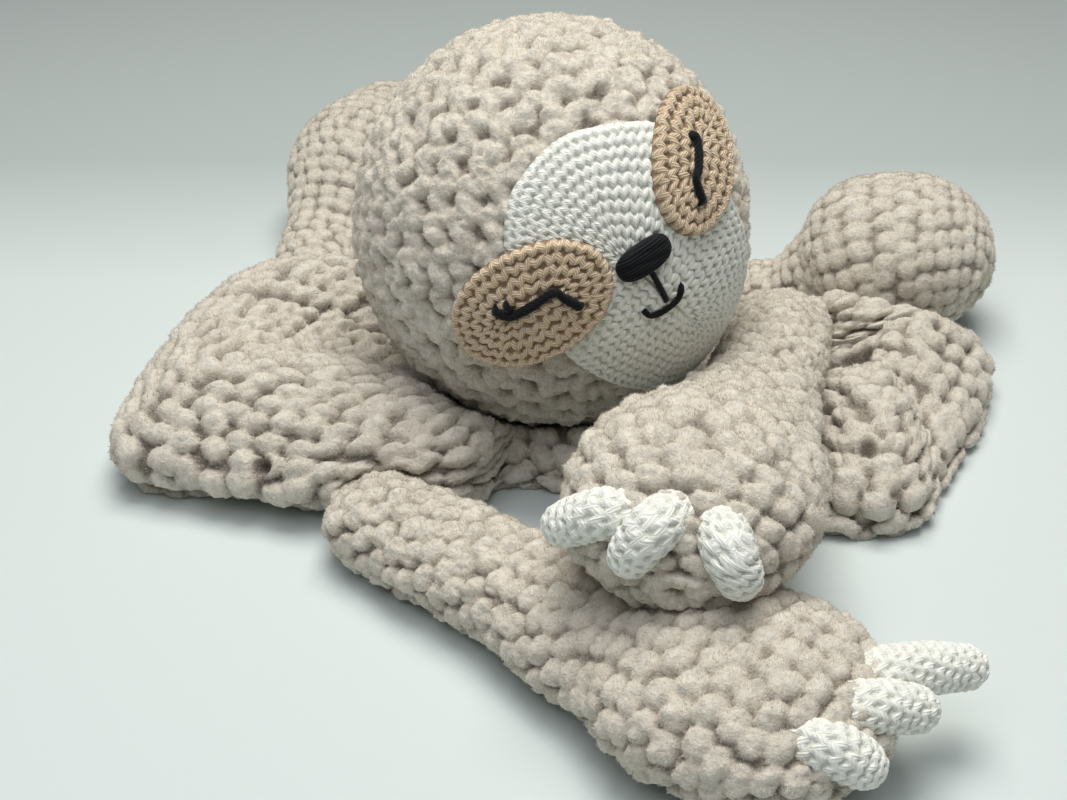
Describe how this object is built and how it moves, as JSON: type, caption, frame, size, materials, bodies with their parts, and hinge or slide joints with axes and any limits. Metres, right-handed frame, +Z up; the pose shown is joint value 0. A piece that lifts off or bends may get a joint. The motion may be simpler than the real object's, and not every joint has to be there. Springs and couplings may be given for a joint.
{
  "type": "crocheted sloth comfort blanket",
  "caption": "Crocheted chenille comfort blanket with a stuffed sloth head with closed eyes, stuffed hands with cotton claws, and stuffed feet at its corners.",
  "frame": {"origin": "middle of the toy's footprint, on the plane that it lies on", "axes": "+Z up, the toy lies on its front-to-back cloth with the face looking along -Y and turned a little to +X; +X to the right as seen from the front"},
  "size_m": [0.2702, 0.3638, 0.1214],
  "materials": {
    "chenille": "thick greige chenille yarn, crocheted, matt with a soft pile",
    "white_cotton": "fine off-white cotton yarn, crocheted, matt",
    "tan_cotton": "fine tan mercerised cotton yarn, crocheted, a faint sheen",
    "black_thread": "black embroidery thread, satin stitch and back stitch",
    "fibrefill": "white loose polyester fibrefill"
  },
  "bodies": {
    "blanket": {"blanket": "chenille"},
    "head": {"head_cover": "chenille", "head_stuffing": "fibrefill", "neck_seam": "chenille", "face_plate": "white_cotton", "eye_patch_left": "tan_cotton", "eye_patch_right": "tan_cotton", "eyelid_left": "black_thread", "eyelid_right": "black_thread", "nose": "black_thread", "mouth": "black_thread"},
    "arm_left": {"arm_left_cover": "chenille", "arm_left_stuffing": "fibrefill", "arm_left_seam": "chenille", "arm_left_claw_1": "white_cotton", "arm_left_claw_2": "white_cotton", "arm_left_claw_3": "white_cotton"},
    "arm_right": {"arm_right_cover": "chenille", "arm_right_stuffing": "fibrefill", "arm_right_seam": "chenille", "arm_right_claw_1": "white_cotton", "arm_right_claw_2": "white_cotton", "arm_right_claw_3": "white_cotton"},
    "leg_left": {"leg_left_cover": "chenille", "leg_left_stuffing": "fibrefill", "leg_left_seam": "chenille"},
    "leg_right": {"leg_right_cover": "chenille", "leg_right_stuffing": "fibrefill", "leg_right_seam": "chenille"}
  },
  "joints": [
    {"name": "head_turn", "type": "hinge", "parent": "blanket", "child": "head", "pos_m": [-0.01086, -0.00491, 0.06452], "axis": [-0.2498, 0.4997, -0.8294], "range_deg": [-20, 20]},
    {"name": "arm_left_swing", "type": "hinge", "parent": "blanket", "child": "arm_left", "pos_m": [-0.05443, -0.07638, 0.011], "axis": [0, 0, 1], "range_deg": [-30, 0]},
    {"name": "arm_right_lift", "type": "hinge", "parent": "blanket", "child": "arm_right", "pos_m": [0.06217, 0.02518, 0.01799], "axis": [-0.4983, 0, 0.867], "range_deg": [0, 30]},
    {"name": "leg_left_swing", "type": "hinge", "parent": "blanket", "child": "leg_left", "pos_m": [-0.0927, 0.07396, 0.00696], "axis": [0, 0, 1], "range_deg": [-10, 30]},
    {"name": "leg_right_swing", "type": "hinge", "parent": "blanket", "child": "leg_right", "pos_m": [0.04601, 0.07326, 0.0065], "axis": [0, 0, 1], "range_deg": [0, 30]}
  ]
}
